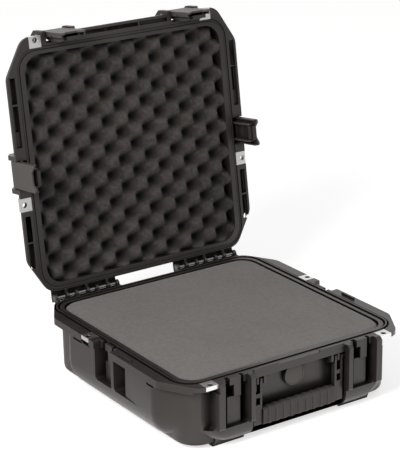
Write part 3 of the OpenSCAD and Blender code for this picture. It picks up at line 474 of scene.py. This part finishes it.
def foam_block(name, half, low, cells, top, edge):
    """A block of foam: a grid with the height that top gives, drawn down to its foot at low.

    Its upper edge is worn down over the width that edge gives.
    """
    bpy.ops.object.select_all(action="DESELECT")
    bpy.ops.mesh.primitive_grid_add(x_subdivisions=cells, y_subdivisions=cells, size=2 * half)
    piece = bpy.context.object
    piece.name = name
    bpy.ops.object.transform_apply(location=True, rotation=True, scale=True)
    bpy.ops.object.mode_set(mode="EDIT")
    bpy.ops.mesh.select_all(action="DESELECT")
    bpy.ops.mesh.select_non_manifold()
    bpy.ops.object.mode_set(mode="OBJECT")
    for v in piece.data.vertices:
        x, y = pull_into_tray(v.co.x, v.co.y, half)
        worn = edge * max(0.0, 1 - depth_in_tray(x, y, half) / edge) ** 2
        v.co = (x, y, top(x, y) - worn)
    bpy.ops.object.mode_set(mode="EDIT")
    for step in (0.25, 1.0):
        bpy.ops.mesh.extrude_region_move()
        bpy.ops.object.mode_set(mode="OBJECT")
        for v in piece.data.vertices:
            if v.select:
                v.co.z += (low - v.co.z) * step
        bpy.ops.object.mode_set(mode="EDIT")
    bpy.ops.mesh.edge_face_add()
    bpy.ops.mesh.select_all(action="SELECT")
    bpy.ops.mesh.normals_make_consistent(inside=False)
    bpy.ops.object.mode_set(mode="OBJECT")
    bpy.ops.object.shade_smooth_by_angle(angle=FOAM_SMOOTH)
    return piece


def base_foam(name, node, cells=24, crown=0.0, shy=0.0):
    """A flat pad in the base, highest in its middle by its crown, and shy of the wall."""
    low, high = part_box(node)
    half = high.x - shy
    piece = foam_block(
        name, half, low.z, cells,
        lambda x, y: high.z - crown * ((x / half) ** 2 + (y / half) ** 2) / 2, edge=0.0035)
    finish_piece(piece, GREY_FOAM)
    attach(piece, "base")
    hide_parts(node)


def waves(x, y):
    """Height of the waved foam's face in the shut lid, where down is towards the opening."""
    dip = (1 - math.sin(math.pi * x / WAVE_X) * math.sin(math.pi * y / WAVE_Y)) / 2
    return PEAK_Z + (VALLEY_Z - PEAK_Z) * dip ** WAVE_NARROW


def lid_foam():
    """The egg-crate foam, with broad peaks and narrow valleys, glued in the lid."""
    piece = foam_block("waved_foam", WAVED_HALF, BACK_Z, WAVED_CELLS, waves, edge=0.001)
    piece.data.transform(OPEN)
    piece.data.update()
    finish_piece(piece, WAVED_FOAM)
    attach(piece, "lid")
    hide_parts("lid_foam")


base_foam("top_foam", "foam_top_pad", cells=110, crown=0.0006, shy=0.0008)
base_foam("middle_foam", "foam_middle_pad")
base_foam("bottom_foam", "foam_bottom_pad")
lid_foam()


# ---- Studio ----

FLOOR_SIZE = 14
FLOOR_COLOUR = (0.66, 0.66, 0.66, 1)
# what the floor adds to its lit colour, so that it is white to the camera
FLOOR_GLOW = 0.64
SOFT_LIGHT = 0.45
LAMP_COLOUR = (1.0, 0.955, 0.925)
CAMERA_PLACE = (-1.58286, -2.28210, 1.26589)
# round to the left, up from the floor and rolled, in degrees
CAMERA_TURN = (-34.12, 19.68, -0.72)
CAMERA_LENS = 142.38
CAMERA_SENSOR = 36


def studio_floor():
    """A white floor that keeps the shadow under the case.

    In reflections it is darker in front and to the left, which keeps those walls of the case dark.
    """
    bpy.ops.object.select_all(action="DESELECT")
    bpy.ops.mesh.primitive_plane_add(size=FLOOR_SIZE, location=(0, 0, 0))
    floor = bpy.context.object
    floor.name = "studio_floor"
    material, tree, shader = node_tree("Pale floor")
    tree.nodes.remove(shader)
    lit = add_node(tree, "ShaderNodeBsdfDiffuse", -300, 200, Color=FLOOR_COLOUR)
    glow = add_node(tree, "ShaderNodeEmission", -300, -50, Color=WHITE)
    rays = add_node(tree, "ShaderNodeLightPath", -800, 0)
    direct = maths(tree, "MULTIPLY", rays.outputs["Is Camera Ray"], FLOOR_GLOW, -600, 0)
    place = add_node(tree, "ShaderNodeTexCoord", -1600, -300)
    apart = add_node(tree, "ShaderNodeSeparateXYZ", -1400, -300)
    tree.links.new(place.outputs["Object"], apart.inputs[0])
    ahead = ranged(tree, apart.outputs["Y"], -1000, -300, From_Min=-1.4, From_Max=-0.3,
                   To_Min=0.15, To_Max=0.88)
    slant = maths(tree, "MULTIPLY", apart.outputs["Y"], 0.5, -1400, -600)
    across = maths(tree, "SUBTRACT", apart.outputs["X"], slant, -1200, -500)
    left = ranged(tree, across, -1000, -600, From_Min=-0.36, From_Max=-0.12, To_Min=0.1,
                  To_Max=1.0)
    level = maths(tree, "MULTIPLY", left, ahead, -800, -400)
    mirrored = maths(tree, "MULTIPLY", rays.outputs["Is Glossy Ray"], level, -600, -150)
    tree.links.new(maths(tree, "ADD", direct, mirrored, -450, 0), glow.inputs["Strength"])
    both = add_node(tree, "ShaderNodeAddShader", -50, 100)
    tree.links.new(lit.outputs[0], both.inputs[0])
    tree.links.new(glow.outputs[0], both.inputs[1])
    tree.links.new(both.outputs[0], tree.nodes["Material Output"].inputs["Surface"])
    finish_piece(floor, material)


def studio_world():
    """White to the camera, a soft grey as light, and in reflections dimmer towards the front."""
    world = bpy.data.worlds.new("Studio")
    bpy.context.scene.world = world
    world.use_nodes = True
    tree = world.node_tree
    soft = tree.nodes["Background"]
    soft.inputs["Color"].default_value = WHITE
    soft.inputs["Strength"].default_value = SOFT_LIGHT
    white = add_node(tree, "ShaderNodeBackground", -100, -200, Color=WHITE)
    rays = add_node(tree, "ShaderNodeLightPath", -600, 0)
    way = add_node(tree, "ShaderNodeTexCoord", -1200, -300)
    apart = add_node(tree, "ShaderNodeSeparateXYZ", -1000, -300)
    tree.links.new(way.outputs["Generated"], apart.inputs[0])
    dim = ranged(tree, apart.outputs["Y"], -800, -300, From_Min=-0.95, From_Max=-0.3,
                 To_Min=0.3, To_Max=1.0)
    level = maths(tree, "MAXIMUM", rays.outputs["Is Camera Ray"], dim, -400, -300)
    tree.links.new(level, white.inputs["Strength"])
    seen = maths(tree, "ADD", rays.outputs["Is Camera Ray"], rays.outputs["Is Glossy Ray"],
                 -400, 0)
    seen = maths(tree, "ADD", seen, rays.outputs["Is Transmission Ray"], -250, -100, clamp=True)
    mix = add_node(tree, "ShaderNodeMixShader", 150, 0)
    tree.links.new(seen, mix.inputs[0])
    tree.links.new(soft.outputs[0], mix.inputs[1])
    tree.links.new(white.outputs[0], mix.inputs[2])
    tree.links.new(mix.outputs[0], tree.nodes["World Output"].inputs["Surface"])


def studio_light(name, place, aim, size, power):
    """A round lamp of that size in metres and power in watts, turned to a point."""
    light = bpy.data.lights.new(name, "AREA")
    light.color = LAMP_COLOUR
    light.shape = "DISK"
    light.size = size
    light.energy = power
    lamp = bpy.data.objects.new(name, light)
    lamp.location = place
    lamp.rotation_euler = (Vector(aim) - Vector(place)).to_track_quat("-Z", "Y").to_euler()
    bpy.context.scene.collection.objects.link(lamp)


def studio_camera():
    """The camera of the photograph: 34 degrees round to the left, 20 degrees above the floor."""
    azimuth, elevation, roll = (math.radians(angle) for angle in CAMERA_TURN)
    ahead = Vector((-math.sin(azimuth) * math.cos(elevation),
                    math.cos(azimuth) * math.cos(elevation), -math.sin(elevation)))
    right = ahead.cross(Vector((0, 0, 1))).normalized()
    up = right.cross(ahead)
    x = right * math.cos(roll) + up * math.sin(roll)
    y = up * math.cos(roll) - right * math.sin(roll)
    lens = bpy.data.cameras.new("Camera")
    lens.sensor_width = CAMERA_SENSOR
    lens.lens = CAMERA_LENS
    camera = bpy.data.objects.new("Camera", lens)
    turn = Matrix((x, y, -ahead)).transposed().to_4x4()
    camera.matrix_world = Matrix.Translation(CAMERA_PLACE) @ turn
    bpy.context.scene.collection.objects.link(camera)
    bpy.context.scene.camera = camera


studio_floor()
studio_world()
studio_light("Key light", (-2.3, -1.1, 1.9), (0, 0, 0.15), size=1.1, power=75)
studio_light("Fill light", (1.2, -2.4, 1.6), (0, 0, 0.2), size=1.8, power=9)
studio_camera()
bpy.context.scene.view_settings.view_transform = "Standard"
